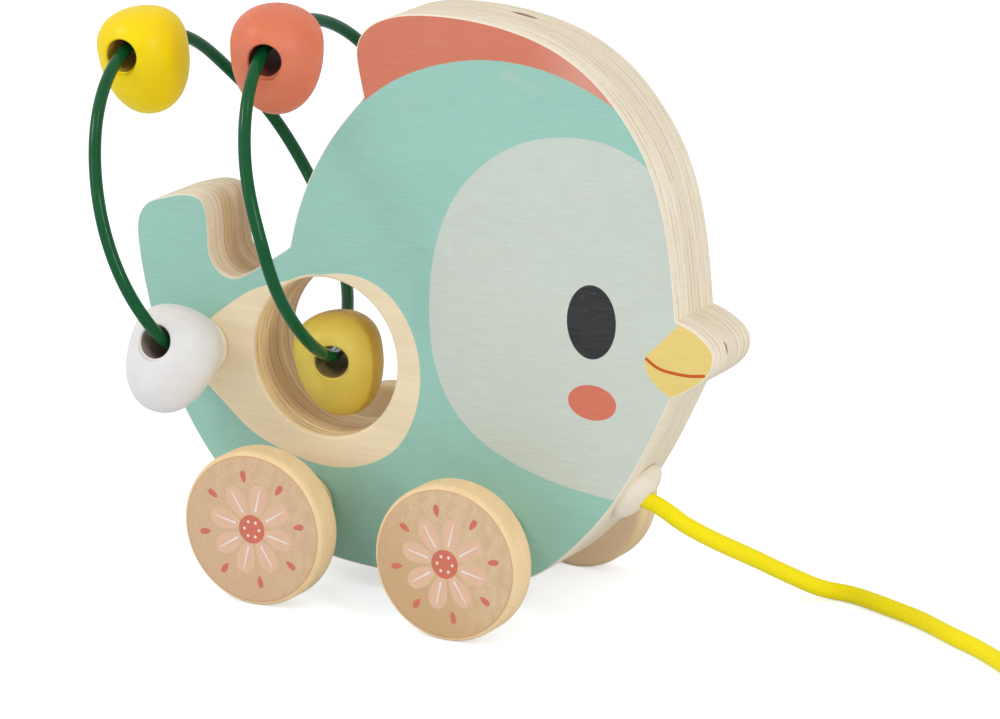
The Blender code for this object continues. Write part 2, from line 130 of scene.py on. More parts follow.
def material(name, roughness=0.5, **plain):
    """A material with its Principled shader; further plain values go to the sockets of those names."""
    made = bpy.data.materials.new(name)
    made.use_nodes = True
    shader = made.node_tree.nodes["Principled BSDF"]
    shader.inputs["Roughness"].default_value = roughness
    for title, value in plain.items():
        shader.inputs[title.replace("_", " ")].default_value = value
    return made, made.node_tree, shader


scene = bpy.context.scene
scene.view_settings.view_transform = "Standard"
flat = cos(CAMERA_HEIGHT_ANGLE)
forward = Vector((-sin(CAMERA_AZIMUTH) * flat, cos(CAMERA_AZIMUTH) * flat, -sin(CAMERA_HEIGHT_ANGLE)))
level = Vector((cos(CAMERA_AZIMUTH), sin(CAMERA_AZIMUTH), 0))
upward = level.cross(forward)
camera_x = level * cos(CAMERA_ROLL) + upward * sin(CAMERA_ROLL)
camera_y = upward * cos(CAMERA_ROLL) - level * sin(CAMERA_ROLL)
lens = bpy.data.cameras.new("camera")
lens.lens = CAMERA_LENS
lens.sensor_width = 36.0
lens.clip_start = 0.05
lens.clip_end = 50.0
camera = placed("camera", lens)
camera.matrix_world = (Matrix.Translation(CAMERA_TARGET - forward * CAMERA_DISTANCE)
                       @ Matrix((camera_x, camera_y, -forward)).transposed().to_4x4())
scene.camera = camera

softbox("key softbox", (-1.25, -0.9, 1.5), (0, 0, 0.08), (0.55, 0.55), 9.4)
softbox("front strip", (-1.0, -1.2, 0.6), (0, 0, 0.08), (0.05, 0.9), 2.5)
softbox("side strip", (1.6, -0.83, 0.62), (0, 0, 0.06), (0.12, 0.9), 9.0)
softbox("top softbox", (0.55, -0.1, 1.15), (0, 0, 0.08), (0.2, 0.2), 0.6)

room = bpy.data.worlds.new("white room")
scene.world = room
room.use_nodes = True
tree = room.node_tree
tree.nodes.clear()
seen = node(tree, "LightPath").outputs
seen_or_glossy = maths("MAXIMUM", seen["Is Camera Ray"], seen["Is Glossy Ray"])
seen_at_all = maths("MAXIMUM", seen_or_glossy, seen["Is Transmission Ray"])
room_light = node(tree, "Background")
room_light.inputs["Color"].default_value = WHITE
link(stepped(seen_at_all, 0.0, 1.0, ROOM_GLOW, 1.0), room_light.inputs["Strength"])
link(room_light.outputs[0], node(tree, "OutputWorld").inputs["Surface"])

sweep_bm = bmesh.new()
bmesh.ops.create_circle(sweep_bm, cap_ends=True, segments=96, radius=9.0)
sweep = mesh_piece("paper_sweep", sweep_bm)
paper, tree, shader = material("white paper sweep", 0.9, Specular_IOR_Level=0.0, Base_Color=PAPER_COLOUR,
                               Emission_Color=WHITE)
looked_at = node(tree, "LightPath").outputs["Is Camera Ray"]
link(stepped(looked_at, 0.0, 1.0, 0.0, PAPER_LIFT), shader.inputs["Emission Strength"])
dress(sweep, paper)


# The pull cord: a soft braid of yellow polyester, 4.6 mm thick, that leaves the button on the chest.
# It drops to the floor on the bird's right side and wanders back across, out of the picture.
# Its spare length is wound in a flat coil, as it comes from the shop.
CORD_RADIUS = 2.3 * MM
PLUG_SEAT = Vector((67.1, 0, 36.0)) * MM
PLUG_AXIS = Vector((0.83, 0, -0.56)).normalized()
PLUG_HEIGHT = 5.4 * MM
SEAT_DEPTH = 1.0 * MM
CORD_ROUTE = [(74.6, 1.0, 31.8), (78.8, 4.0, 27.9), (82.5, 8.5, 24.1), (85.8, 14.0, 20.4),
              (88.9, 20.0, 16.8), (91.8, 26.5, 13.0), (95.0, 32.5, 9.2), (98.9, 38.0, 5.6),
              (103.6, 41.9, 3.0), (109.5, 43.2, 2.4), (116.5, 41.4, 2.4), (124.5, 38.0, 2.4),
              (135.6, 32.9, 2.4), (147.0, 25.6, 2.4), (158.8, 18.3, 2.4), (171.0, 8.8, 2.4),
              (181.0, -0.8, 2.6)]
COIL_CENTRE = Vector((206.0, 16.0, 0)) * MM
COIL_RADIUS = 30.0 * MM
COIL_PITCH = 5.2 * MM
COIL_RISE = 5.1 * MM
COIL_TURNS = 3.0
COIL_START = radians(-110.0)
COIL_HEIGHT = 3.5 * MM
COIL_LOOP_POINTS = 24
PULL_BEAD_RADIUS = 10.0 * MM
PULL_BEAD_AT = COIL_CENTRE + Vector((13.5, -42.5, 10.0)) * MM
PULL_BEAD_HEADING = Vector((0.80, -0.60, 0))
KNOT_RADIUS = 4.6 * MM


def smooth_through(points, step):
    """Natural cubic spline through points, read every step or so along its length."""
    pts = np.array(points, float)
    length = np.concatenate([[0], np.cumsum(np.linalg.norm(np.diff(pts, axis=0), axis=1))])
    n = len(pts)
    gaps = np.diff(length)
    system = np.zeros((n, n))
    right = np.zeros_like(pts)
    system[0, 0] = system[-1, -1] = 1.0
    for i in range(1, n - 1):
        system[i, i - 1:i + 2] = gaps[i - 1], 2 * (gaps[i - 1] + gaps[i]), gaps[i]
        right[i] = 6 * ((pts[i + 1] - pts[i]) / gaps[i] - (pts[i] - pts[i - 1]) / gaps[i - 1])
    bend = np.linalg.solve(system, right)
    at = np.linspace(0, length[-1], max(2, ceil(length[-1] / step) + 1))
    k = np.clip(np.searchsorted(length, at, side="right") - 1, 0, n - 2)
    h, a, b = gaps[k][:, None], (length[k + 1] - at)[:, None], (at - length[k])[:, None]
    return (bend[k] * a ** 3 / (6 * h) + bend[k + 1] * b ** 3 / (6 * h)
            + (pts[k] / h - bend[k] * h / 6) * a + (pts[k + 1] / h - bend[k + 1] * h / 6) * b)


def coil_point(turns):
    half = COIL_TURNS / 2
    radius = COIL_RADIUS - COIL_PITCH * (half - abs(turns - half))
    climb = min(max((turns - half + 0.25) / 0.5, 0.0), 1.0)
    height = COIL_HEIGHT + COIL_RISE * (1 - cos(pi * climb)) / 2
    angle = COIL_START + 2 * pi * turns
    return COIL_CENTRE + Vector((radius * cos(angle), radius * sin(angle), height))


def tube_mesh(name, points, radius, sides):
    """A round tube along points, with its ends closed; UV runs round it and along it in metres."""
    pts = [Vector(p) for p in points]
    bm = bmesh.new()
    uv = bm.loops.layers.uv.new("UVMap")
    rings = []
    along = [0.0]
    for a, b in zip(pts, pts[1:]):
        along.append(along[-1] + (b - a).length)
    heading = (pts[1] - pts[0]).normalized()
    side = heading.orthogonal().normalized()
    for i, point in enumerate(pts):
        ahead = (pts[min(i + 1, len(pts) - 1)] - pts[max(i - 1, 0)]).normalized()
        side = (heading.rotation_difference(ahead) @ side).normalized()
        heading = ahead
        other = heading.cross(side)
        size = radius(along[i]) if callable(radius) else radius
        rings.append([bm.verts.new(point + (side * cos(t) + other * sin(t)) * size)
                      for t in (2 * pi * k / sides for k in range(sides))])
    for i in range(len(rings) - 1):
        for k in range(sides):
            j = (k + 1) % sides
            face = bm.faces.new((rings[i][k], rings[i][j], rings[i + 1][j], rings[i + 1][k]))
            face.smooth = True
            for loop, (u, v) in zip(face.loops, ((k, i), (k + 1, i), (k + 1, i + 1), (k, i + 1))):
                loop[uv].uv = (u / sides, along[v])
    bm.faces.new(list(reversed(rings[0])))
    bm.faces.new(rings[-1])
    return mesh_piece(name, bm)


def group(name, inputs):
    """A shader node group and its inputs, each given by name with its kind and value."""
    tree = bpy.data.node_groups.new(name, "ShaderNodeTree")
    for title, (kind, value) in inputs.items():
        socket = tree.interface.new_socket(name=title, in_out="INPUT", socket_type="NodeSocket" + kind)
        socket.default_value = value
    return tree, tree.nodes.new("NodeGroupInput").outputs


def gives(tree, masks):
    """Put masks out of a group under their names."""
    for title in masks:
        tree.interface.new_socket(name=title, in_out="OUTPUT", socket_type="NodeSocketFloat")
    out = tree.nodes.new("NodeGroupOutput")
    for title, mask in masks.items():
        link(mask, out.inputs[title])


def times(a, b):
    return maths("MULTIPLY", a, b)


def plus(a, b):
    return maths("ADD", a, b)


def minus(a, b):
    return maths("SUBTRACT", a, b)


def linear(colour):
    """A colour as it looks on screen, 0 to 255, in the linear values that a shader wants."""
    return tuple(((c / 255 + 0.055) / 1.055) ** 2.4 if c > 10 else c / 255 / 12.92 for c in colour) + (1.0,)


def mixed(factor, low, high, blend_type="MIX"):
    """A colour Mix node."""
    made = node(factor.id_data, "Mix", data_type="RGBA", blend_type=blend_type)
    link(factor, made.inputs["Factor"])
    put(low, made.inputs[6])
    put(high, made.inputs[7])
    return made.outputs[2]


def spot(tree):
    """Where a point lies on its own piece."""
    return node(tree, "TexCoord").outputs["Object"]


def parts(vector):
    """The X, Y and Z of a vector."""
    made = node(vector.id_data, "SeparateXYZ")
    link(vector, made.inputs[0])
    return made.outputs


def stretched(source, scale, turn=(0, 0, 0)):
    made = node(source.id_data, "Mapping")
    made.inputs["Scale"].default_value = scale
    made.inputs["Rotation"].default_value = turn
    link(source, made.inputs["Vector"])
    return made.outputs["Vector"]


def noise(vector, scale, detail=2.0, roughness=0.5):
    """Noise at one scale, or at one for each axis."""
    made = node(vector.id_data, "TexNoise")
    if isinstance(scale, tuple):
        vector, scale = stretched(vector, scale), 1.0
    for title, number in (("Scale", scale), ("Detail", detail), ("Roughness", roughness)):
        made.inputs[title].default_value = number
    link(vector, made.inputs["Vector"])
    return made.outputs["Fac"]


def surfaced(shader, colour, height, strength, distance):
    """Connect a shader's colour, and a relief of some strength and depth."""
    link(colour, shader.inputs["Base Color"])
    made = node(shader.id_data, "Bump")
    made.inputs["Strength"].default_value = strength
    made.inputs["Distance"].default_value = distance
    link(height, made.inputs["Height"])
    link(made.outputs["Normal"], shader.inputs["Normal"])


# Strands of a round braid, from the cord's own UV: over and under in a diamond pattern.
braid, braid_in = group("round braid", {"Strands": ("Float", 8.0), "Pitch": ("Float", 9.0 * MM)})
braid_uv = parts(node(braid, "UVMap", uv_map="UVMap").outputs["UV"])
round_it = times(braid_uv["X"], braid_in["Strands"])
down_it = times(maths("DIVIDE", braid_uv["Y"], braid_in["Pitch"]), braid_in["Strands"])
leftward = plus(round_it, down_it)
rightward = minus(round_it, down_it)
crossing = plus(maths("FLOOR", leftward), maths("FLOOR", rightward))
parity = maths("FLOORED_MODULO", crossing, 2.0)
left_crown = maths("ABSOLUTE", maths("SINE", times(leftward, pi)))
right_crown = maths("ABSOLUTE", maths("SINE", times(rightward, pi)))
crown = plus(times(left_crown, parity), times(right_crown, minus(1.0, parity)))
gives(braid, {"Height": crown, "Shade": stepped(crown, 0.0, 0.7)})

cord_yarn, tree, shader = material("yellow braided cord", 0.85, Sheen_Weight=0.1, Sheen_Roughness=0.4,
                                   Specular_IOR_Level=0.1)
strands = node(tree, "Group", node_tree=braid).outputs
fibre = noise(spot(tree), 900.0, 3.0, 0.6)
patches = noise(spot(tree), 70.0)
shaded = mixed(strands["Shade"], (248, 224, 18), (254, 235, 26))
worn = mixed(stepped(patches, 0.35, 0.7, 0.0, 0.5), shaded, (252, 233, 26))
fluff = plus(strands["Height"], times(fibre, 0.5))
surfaced(shader, worn, fluff, 0.13, 0.3 * MM)

plug_mouth = PLUG_SEAT + PLUG_AXIS * (PLUG_HEIGHT - SEAT_DEPTH)
coil_stops = [coil_point(k / COIL_LOOP_POINTS) for k in range(int(COIL_LOOP_POINTS * COIL_TURNS) + 1)]
into_coil = (coil_stops[1] - coil_stops[0]).normalized()
out_of_coil = (coil_stops[-1] - coil_stops[-2]).normalized()
before_coil = coil_stops[0] - into_coil * 4 * CORD_RADIUS
after_coil = coil_stops[-1] + out_of_coil * 4 * CORD_RADIUS
knot_at = PULL_BEAD_AT + PULL_BEAD_HEADING * (PULL_BEAD_RADIUS + KNOT_RADIUS)
cord_stops = [plug_mouth] + [Vector(p) * MM for p in CORD_ROUTE] + [before_coil] + coil_stops
cord_stops += [after_coil, PULL_BEAD_AT - PULL_BEAD_HEADING * PULL_BEAD_RADIUS,
               knot_at - PULL_BEAD_HEADING * 2 * MM]
cord_path = smooth_through(cord_stops, 1.5 * MM)
lumps = np.convolve(np.random.default_rng(4).normal(0, 1, 400), np.ones(5) / 5, "same")


def cord_thickness(along):
    """The braid swells and thins a little along its length."""
    return CORD_RADIUS * (1 + 0.022 * float(np.interp(along / (2.5 * MM), np.arange(len(lumps)), lumps)))


cord_root = np.array(plug_mouth - PLUG_AXIS * 3 * MM)
cord = tube_mesh("braided_cord", np.concatenate([[cord_root], cord_path]), cord_thickness, 20)
dress(cord, cord_yarn)
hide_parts("pull_cord", "cord_coil", "cord_end")
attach(cord, "bird")


# The ends of the cord: a knot hidden in the chest, and a turned wooden bead with a knot behind it.
# A paper band round the coil keeps it together.
def turned_mesh(name, profile, steps, closed=True):
    """Spin a profile of (radius, height) round Z."""
    bm = bmesh.new()
    verts = [bm.verts.new((max(r, 0.0), 0, h)) for r, h in profile]
    edges = [bm.edges.new((a, b)) for a, b in zip(verts, verts[1:])]
    if closed:
        edges.append(bm.edges.new((verts[-1], verts[0])))
    bmesh.ops.spin(bm, geom=verts + edges, axis=(0, 0, 1), cent=(0, 0, 0), angle=2 * pi, steps=steps)
    bmesh.ops.remove_doubles(bm, verts=bm.verts, dist=1e-6)
    bmesh.ops.recalc_face_normals(bm, faces=bm.faces)
    piece = mesh_piece(name, bm)
    piece.data.shade_smooth()
    piece.data.set_sharp_from_angle(angle=radians(50))
    return piece


def stand(piece, at, direction):
    """Turn a piece's +Z to a direction and move it to its place."""
    turn = Vector(direction).to_track_quat("Z", "Y").to_matrix().to_4x4()
    piece.matrix_world = Matrix.Translation(at) @ turn
    return piece


def ball_profile(radius, bore, rim):
    """Half a ball with a bore along Z whose mouths are rounded off."""
    start = np.arcsin((bore + rim) / radius)
    arc = [(radius * sin(a), -radius * cos(a)) for a in np.linspace(start, pi - start, 28)]
    edge_height = arc[-1][1]
    bend = np.linspace(0.2, pi / 2, 5)
    top = [(bore + rim * (1 - sin(a)), edge_height - rim * (1 - cos(a)) * 0.8) for a in bend]
    return arc + top + [(r, -h) for r, h in reversed(top)]


# Grain of a pale wood: long soft bands with short darker flecks, along the given direction.
grain, grain_in = group("wood grain", {"Vector": ("Vector", (0, 0, 0))})
bands = noise(grain_in["Vector"], (18, 330, 330), 3.0, 0.55)
fine = noise(grain_in["Vector"], (90, 2600, 2600), 2.0, 0.6)
flecks = stepped(noise(grain_in["Vector"], (420, 2400, 2400), 1.0), 0.60, 0.74)
gives(grain, {"Bands": plus(times(bands, 0.65), times(fine, 0.35)), "Flecks": flecks,
              "Height": minus(fine, times(flecks, 0.5))})


def grown(tree, along):
    """The grain's masks, running along the piece's own X or Y."""
    made = node(tree, "Group", node_tree=grain)
    turn = (0, 0, pi / 2) if along == "Y" else (0, 0, 0)
    link(stretched(spot(tree), (1, 1, 1), turn), made.inputs["Vector"])
    return made.outputs


def wood(name, light, dark, fleck, roughness, along="X", bump=0.12, **plain):
    """A clear wood with its grain along one axis of the piece."""
    made, tree, shader = material(name, roughness, **plain)
    rings = grown(tree, along)
    body = mixed(stepped(rings["Bands"], 0.34, 0.66), dark, light)
    flecked = mixed(times(rings["Flecks"], 0.45), body, fleck)
    surfaced(shader, flecked, rings["Height"], bump, 0.1 * MM)
    return made


maple = wood("turned pale wood", (240, 228, 204), (226, 210, 180), (205, 180, 144), 0.42,
             Coat_Weight=0.15, Coat_Roughness=0.3)
sanded_maple = wood("finely sanded pale wood", (240, 231, 212), (234, 223, 202), (226, 212, 188), 0.6,
                    bump=0.04, Specular_IOR_Level=0.25)

pull_bead = stand(turned_mesh("pull_ball", ball_profile(PULL_BEAD_RADIUS, 2.95 * MM, 0.9 * MM), 64),
                  PULL_BEAD_AT, PULL_BEAD_HEADING)
dress(pull_bead, maple)
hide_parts("pull_bead")
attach(pull_bead, "bird")

knot_path = [Vector(((sin(t) + 2 * sin(2 * t)) * 1.05, (cos(t) - 2 * cos(2 * t)) * 1.05,
                     -1.9 * sin(3 * t))) * MM for t in np.linspace(0, 2 * pi, 90)]
end_knot = stand(tube_mesh("tight_knot", knot_path, 1.75 * MM, 16), knot_at + PULL_BEAD_HEADING * 0.8 * MM,
                 PULL_BEAD_HEADING)
dress(end_knot, cord_yarn)
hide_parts("end_knot")
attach(end_knot, "bird")

band, tree, shader = material("paper band", 0.75)
pulp = noise(spot(tree), 700.0, 4.0, 0.65)
surfaced(shader, mixed(pulp, (222, 218, 208), (240, 238, 231)), pulp, 0.2, 0.08 * MM)
knot_yarn, tree, shader = material("yellow cord in its knot", 0.85, Sheen_Weight=0.3)
knot_fibre = noise(spot(tree), 850.0, 3.0, 0.6)
surfaced(shader, mixed(knot_fibre, (238, 210, 10), (254, 236, 16)), knot_fibre, 0.5, 0.3 * MM)


def refinish(name, finish):
    """Give a CAD piece that stays its detailed material."""
    piece = bpy.data.objects[name]
    piece.data.materials.clear()
    dress(piece, finish)


refinish("cord_tie", band)
refinish("anchor_knot", knot_yarn)


# The bird: eleven plies of pale wood, sawn to outline with a round window, its edges eased by sanding.
# Both faces are printed flat: teal all over, with a bare patch round the window; the sawn edge stays bare.
SLAB = 22.5 * MM
EDGE = 0.35 * MM
WINDOW_EDGE = 0.8 * MM
HOLE_RADIUS = 21.8 * MM
HOLE_X, HOLE_Z = -19.9 * MM, 61.4 * MM
CREST = [(-9.1, 133.5), (-10.9, 140.9), (-11.3, 147.3), (-8.7, 151.8), (-3.7, 155.0), (10.2, 157.8),
         (28.0, 157.3), (48.0, 152.0), (60.0, 144.2), (67.2, 136.5), (74.6, 124.9), (79.5, 110.2),
         (82.1, 95.1), (83.1, 86.1)]
BEAK = [(83.1, 86.1), (86.0, 85.2), (90.6, 82.8), (93.8, 79.3), (93.7, 75.0), (89.5, 69.9), (82.3, 65.3)]
CHEST = [(82.3, 65.3), (77.0, 53.5), (71.6, 42.7), (63.6, 30.2), (54.8, 20.0), (44.2, 11.2), (31.0, 6.8),
         (12.0, 5.3), (-8.0, 5.7), (-24.1, 8.1), (-40.2, 15.6), (-53.8, 27.9), (-63.1, 40.9), (-70.5, 56.8),
         (-74.9, 70.8), (-77.9, 85.7), (-77.9, 91.8), (-75.5, 96.1), (-70.1, 98.6), (-63.0, 100.4),
         (-58.2, 99.4), (-56.4, 95.1), (-55.9, 89.1), (-54.5, 82.7), (-49.0, 79.3), (-43.2, 81.5),
         (-30.9, 90.2)]
BACK = [(-30.9, 90.2), (-28.9, 99.1), (-25.3, 109.2), (-18.1, 122.1), (-9.1, 133.5)]
WING = [(-62.5, 58.0), (-58.1, 64.0), (-49.5, 71.8), (-42.7, 76.6), (-32.0, 80.7), (-23.0, 83.4),
        (-13.1, 85.2), (-4.7, 83.5), (2.3, 78.4), (6.1, 72.7), (8.7, 64.4), (9.0, 56.9), (7.1, 48.2),
        (1.9, 39.3), (-5.5, 34.3), (-12.3, 32.1), (-22.5, 31.8), (-32.0, 33.8), (-43.4, 38.6),
        (-50.4, 44.2), (-57.8, 50.6), (-62.5, 58.0)]
FACE_PATCH = [(78.0, 121.0), (74.4, 124.8), (68.9, 127.9), (60.2, 130.3), (50.1, 130.3), (40.0, 128.1),
              (31.4, 123.7), (19.9, 112.8), (13.0, 96.6), (11.4, 80.4), (16.6, 56.9), (23.9, 48.3),
              (33.8, 42.5), (45.3, 38.7), (51.1, 37.4), (56.9, 36.6), (62.8, 36.0), (70.0, 35.6)]
CREST_ARC = [(-14.1, 129.5), (-8.9, 132.7), (-4.2, 136.4), (-0.2, 139.1), (7.6, 143.0), (15.5, 145.7),
             (24.8, 147.6), (35.0, 148.0), (46.7, 146.4), (54.4, 144.0), (63.7, 139.8), (74.0, 133.4)]
BEAK_SIDE = [(85.0, 86.4), (83.1, 84.4), (79.7, 80.7), (76.7, 77.7), (74.8, 75.4), (75.7, 70.9),
             (78.6, 67.9), (82.2, 65.8), (84.1, 64.7)]
MOUTH = [(74.8, 75.3), (78.5, 73.1), (82.9, 72.4), (87.1, 72.3), (91.9, 73.0)]
MOUTH_WIDTH = 0.85 * MM
EYE = (59.0, 82.5, 7.1, 9.9)
CHEEK = (59.8, 61.0, 7.0, 4.7)


def oval(cx, cz, rx, rz, steps=72):
    turn = np.arange(steps) * 2 * pi / steps
    return np.stack([cx + rx * np.cos(turn), cz - rz * np.sin(turn)], 1)


def shifted(outline, by):
    """A closed outline, clockwise seen from -Y, moved outwards by a small distance."""
    run_in = outline - np.roll(outline, 1, 0)
    run_out = np.roll(outline, -1, 0) - outline
    run_in /= np.linalg.norm(run_in, axis=1)[:, None]
    run_out /= np.linalg.norm(run_out, axis=1)[:, None]
    normal = np.stack([-(run_in + run_out)[:, 1], (run_in + run_out)[:, 0]], 1)
    normal /= np.linalg.norm(normal, axis=1)[:, None]
    return outline + normal * by


def inside(polygon, point):
    """Even-odd test of a point against a closed polygon."""
    x, z = point
    x0, z0 = polygon[:, 0], polygon[:, 1]
    x1, z1 = np.roll(x0, -1), np.roll(z0, -1)
    crosses = (z0 > z) != (z1 > z)
    reach = (x1 - x0) * (z - z0) / np.where(z1 == z0, 1e-12, z1 - z0) + x0
    return bool(np.count_nonzero(crosses & (x < reach)) % 2)


bird_outline = np.concatenate([smooth_through(s, 1.3)[:-1] for s in (CREST, BEAK, CHEST, BACK)]) * MM
window_outline = oval(HOLE_X, HOLE_Z, HOLE_RADIUS, HOLE_RADIUS, 120)
mouth_line = smooth_through(MOUTH, 0.8) * MM
mouth_run = np.gradient(mouth_line, axis=0)
mouth_run /= np.linalg.norm(mouth_run, axis=1)[:, None]
mouth_across = np.stack([-mouth_run[:, 1], mouth_run[:, 0]], 1) * MOUTH_WIDTH / 2
FAR_OUT = 0.3
TEAL, PALE, CORAL, BARE, YELLOW, RUST, CHARCOAL, CHEEK_CORAL, WINDOW_WALL = range(1, 10)
prints = [
    (PALE, np.concatenate([smooth_through(FACE_PATCH, 1.5) * MM, [(FAR_OUT, 0.0), (FAR_OUT, 0.12)]])),
    (CORAL, np.concatenate([smooth_through(CREST_ARC, 1.5) * MM, [(0.2, FAR_OUT), (-0.2, FAR_OUT)]])),
    (BARE, smooth_through(WING, 1.5)[:-1] * MM),
    (YELLOW, np.concatenate([smooth_through(BEAK_SIDE, 0.8) * MM, [(0.12, 0.06), (0.12, 0.095)]])),
    (RUST, np.concatenate([mouth_line + mouth_across, (mouth_line - mouth_across)[::-1]])),
    (CHARCOAL, oval(*EYE) * MM),
    (CHEEK_CORAL, oval(*CHEEK, 60) * MM),
]


def with_crossings(rings, shapes):
    """Add to each of the stacked rings the places where the print's shapes cross the last one."""
    flat = rings[-1]
    run = np.roll(flat, -1, 0) - flat
    places = [[] for _ in flat]
    for shape in shapes:
        for a, b in zip(shape, np.roll(shape, -1, 0)):
            d = b - a
            across = d[0] * run[:, 1] - d[1] * run[:, 0]
            across[np.abs(across) < 1e-15] = 1e-15
            off = flat - a
            along_shape = (off[:, 0] * run[:, 1] - off[:, 1] * run[:, 0]) / across
            along_ring = (off[:, 0] * d[1] - off[:, 1] * d[0]) / across
            hit = (along_shape >= 0) & (along_shape < 1) & (along_ring > 1e-3) & (along_ring < 1 - 1e-3)
            for i in np.flatnonzero(hit):
                places[i].append(along_ring[i])
    full = []
    for ring in rings:
        points = []
        for i, cuts in enumerate(places):
            after = ring[(i + 1) % len(ring)]
            points += [ring[i]] + [ring[i] + (after - ring[i]) * t for t in sorted(cuts)]
        full.append(np.array(points))
    return full


def flat_print(bm, rims, shapes, lift, plain):
    """Fill a flat face with triangles cut along the print's shapes; the last shape there gives the colour.

    Each rim is an outline with its vertices, the outer rim first; lift turns (x, z) into a point.
    """
    points, edges, owners = [], [], []
    for outline, ring in rims:
        owners += ring
    for outline in [rim[0] for rim in rims] + [shape for _, shape in shapes]:
        start = len(points)
        points += [Vector(p) for p in outline]
        edges += [(start + i, start + (i + 1) % len(outline)) for i in range(len(outline))]
    verts, _, faces, origin, _, _ = delaunay_2d_cdt(points, edges, [], 0, 1e-7)
    made = {}
    for face in faces:
        middle = sum((verts[i] for i in face), Vector((0, 0))) / 3
        if not inside(rims[0][0], middle) or any(inside(hole, middle) for hole, _ in rims[1:]):
            continue
        for i in face:
            if i not in made:
                rim = [k for k in origin[i] if k < len(owners)]
                made[i] = owners[rim[0]] if rim else bm.verts.new(lift(verts[i]))
        corners = [made[i] for i in face]
        if len(set(corners)) == 3 and not bm.faces.get(corners):
            over = [colour for colour, shape in shapes if inside(shape, middle)]
            bm.faces.new(corners).material_index = over[-1] if over else plain


def wall(bm, rings, finish=0):
    """Smooth faces between stacked rings of vertices."""
    for low, high in zip(rings, rings[1:]):
        for i in range(len(low)):
            j = (i + 1) % len(low)
            side = bm.faces.new((low[i], low[j], high[j], high[i]))
            side.smooth = True
            side.material_index = finish


def finished(name, bm):
    bmesh.ops.recalc_face_normals(bm, faces=bm.faces)
    piece = mesh_piece(name, bm)
    piece.data.set_sharp_from_angle(angle=radians(40))
    return piece


bird_bm = bmesh.new()
quarter = np.linspace(pi / 2, 0, 6)
near_rims, far_rims = [], []
for outline, sign, edge, finish, rim in ((bird_outline, 1, EDGE, 0, 0),
                                         (window_outline, -1, WINDOW_EDGE, WINDOW_WALL, BARE)):
    levels = [(-SLAB / 2 + edge * (1 - cos(a)), -edge * (1 - sin(a))) for a in quarter[::-1]]
    levels += [(-y, by) for y, by in reversed(levels)]
    stack = with_crossings([shifted(outline, by * sign) for _, by in levels], [shape for _, shape in prints])
    rings = [[bird_bm.verts.new((x, y, z)) for x, z in ring] for ring, (y, _) in zip(stack, levels)]
    wall(bird_bm, rings[:6], rim)
    wall(bird_bm, rings[5:-5], finish)
    wall(bird_bm, rings[-6:], rim)
    near_rims.append((stack[0], rings[0]))
    far_rims.append((stack[-1], rings[-1]))
flat_print(bird_bm, near_rims, prints, lambda p: (p.x, -SLAB / 2, p.y), TEAL)
flat_print(bird_bm, far_rims, prints, lambda p: (p.x, SLAB / 2, p.y), TEAL)
bird = finished("plywood_bird", bird_bm)


# Plies on the sawn edge: the grain of the odd plies runs level and that of the even ones upright, so each
# shows long grain on one part of the outline and darker, ticked end grain on another. Thin glue lines waver.
PLY_TONES = (0.0, 0.2, 0.1, 0.35, 0.7, 0.95, 0.7, 0.4, 0.55, 0.45, 0.35)
PLY_GAPS = [((29.3, 4.9, 157.1), 5.0, 0.8), ((93.2, -3.2, 78.9), 2.4, 1.7)]
NOTCH_MIDDLE = (-48.5, 0, 88.667)
PLIES = len(PLY_TONES)


def away(place, centre, scale):
    """Distance from a centre in millimetres, each axis stretched by its own factor."""
    offset = node(place.id_data, "VectorMath", operation="SUBTRACT")
    link(place, offset.inputs[0])
    offset.inputs[1].default_value = Vector(centre) * MM
    reach = node(place.id_data, "VectorMath", operation="LENGTH")
    link(stretched(offset.outputs[0], scale), reach.inputs[0])
    return reach.outputs["Value"]


plies, plies_in = group("ply edge", {"Ply": ("Float", SLAB / PLIES), "Waver": ("Float", 0.5 * MM)})
ply_texture = node(plies, "TexCoord").outputs
ply_place = ply_texture["Object"]
ply_facing = parts(ply_texture["Normal"])
waver = times(minus(noise(ply_place, 34.0), 0.5), plies_in["Waver"])
depth_in = plus(plus(parts(ply_place)["Y"], waver), SLAB / 2)
layer = maths("DIVIDE", depth_in, plies_in["Ply"])
within = maths("FRACT", layer)
seam = maths("MINIMUM", within, minus(1.0, within))
even = maths("FLOORED_MODULO", maths("FLOOR", layer), 2.0)
level_end = stepped(maths("ABSOLUTE", ply_facing["X"]), 0.25, 0.8)
upright_end = stepped(maths("ABSOLUTE", ply_facing["Z"]), 0.25, 0.8)
end_grain = plus(times(upright_end, even), times(level_end, minus(1.0, even)))
sheet_tone = node(plies, "ValToRGB")
ramp = sheet_tone.color_ramp
ramp.interpolation = "CONSTANT"
ramp.elements[1].position = 1 / PLIES
for _ in PLY_TONES[2:]:
    ramp.elements.new(1.0)
for i, tone in enumerate(PLY_TONES):
    ramp.elements[i].position = i / PLIES
    ramp.elements[i].color = (tone, tone, tone, 1)
link(maths("DIVIDE", layer, float(PLIES)), sheet_tone.inputs["Fac"])
patch = noise(ply_place, 55.0)
inner_seam = stepped(maths("MINIMUM", layer, minus(float(PLIES), layer)), 0.4, 0.6)
open_seam = stepped(noise(ply_place, (70, 500, 70)), 0.42, 0.62, 0.10, 1.0)
glue = times(times(stepped(seam, 0.02, 0.13, 1.0, 0.0), inner_seam), open_seam)
ticks = noise(ply_place, (1500, 260, 1500), 2.0, 0.6)
fibres = noise(ply_place, (160, 2400, 160), 3.0, 0.6)
marks = mixed(end_grain, fibres, ticks)
gaps = []
for centre, gap_length, thinness in PLY_GAPS:
    reach = away(ply_place, centre, (1 / gap_length, thinness, 1 / gap_length))
    ragged = plus(reach, times(fibres, 0.6 * MM))
    gaps.append(stepped(ragged, 0.9 * MM, 1.15 * MM, 1.0, 0.0))
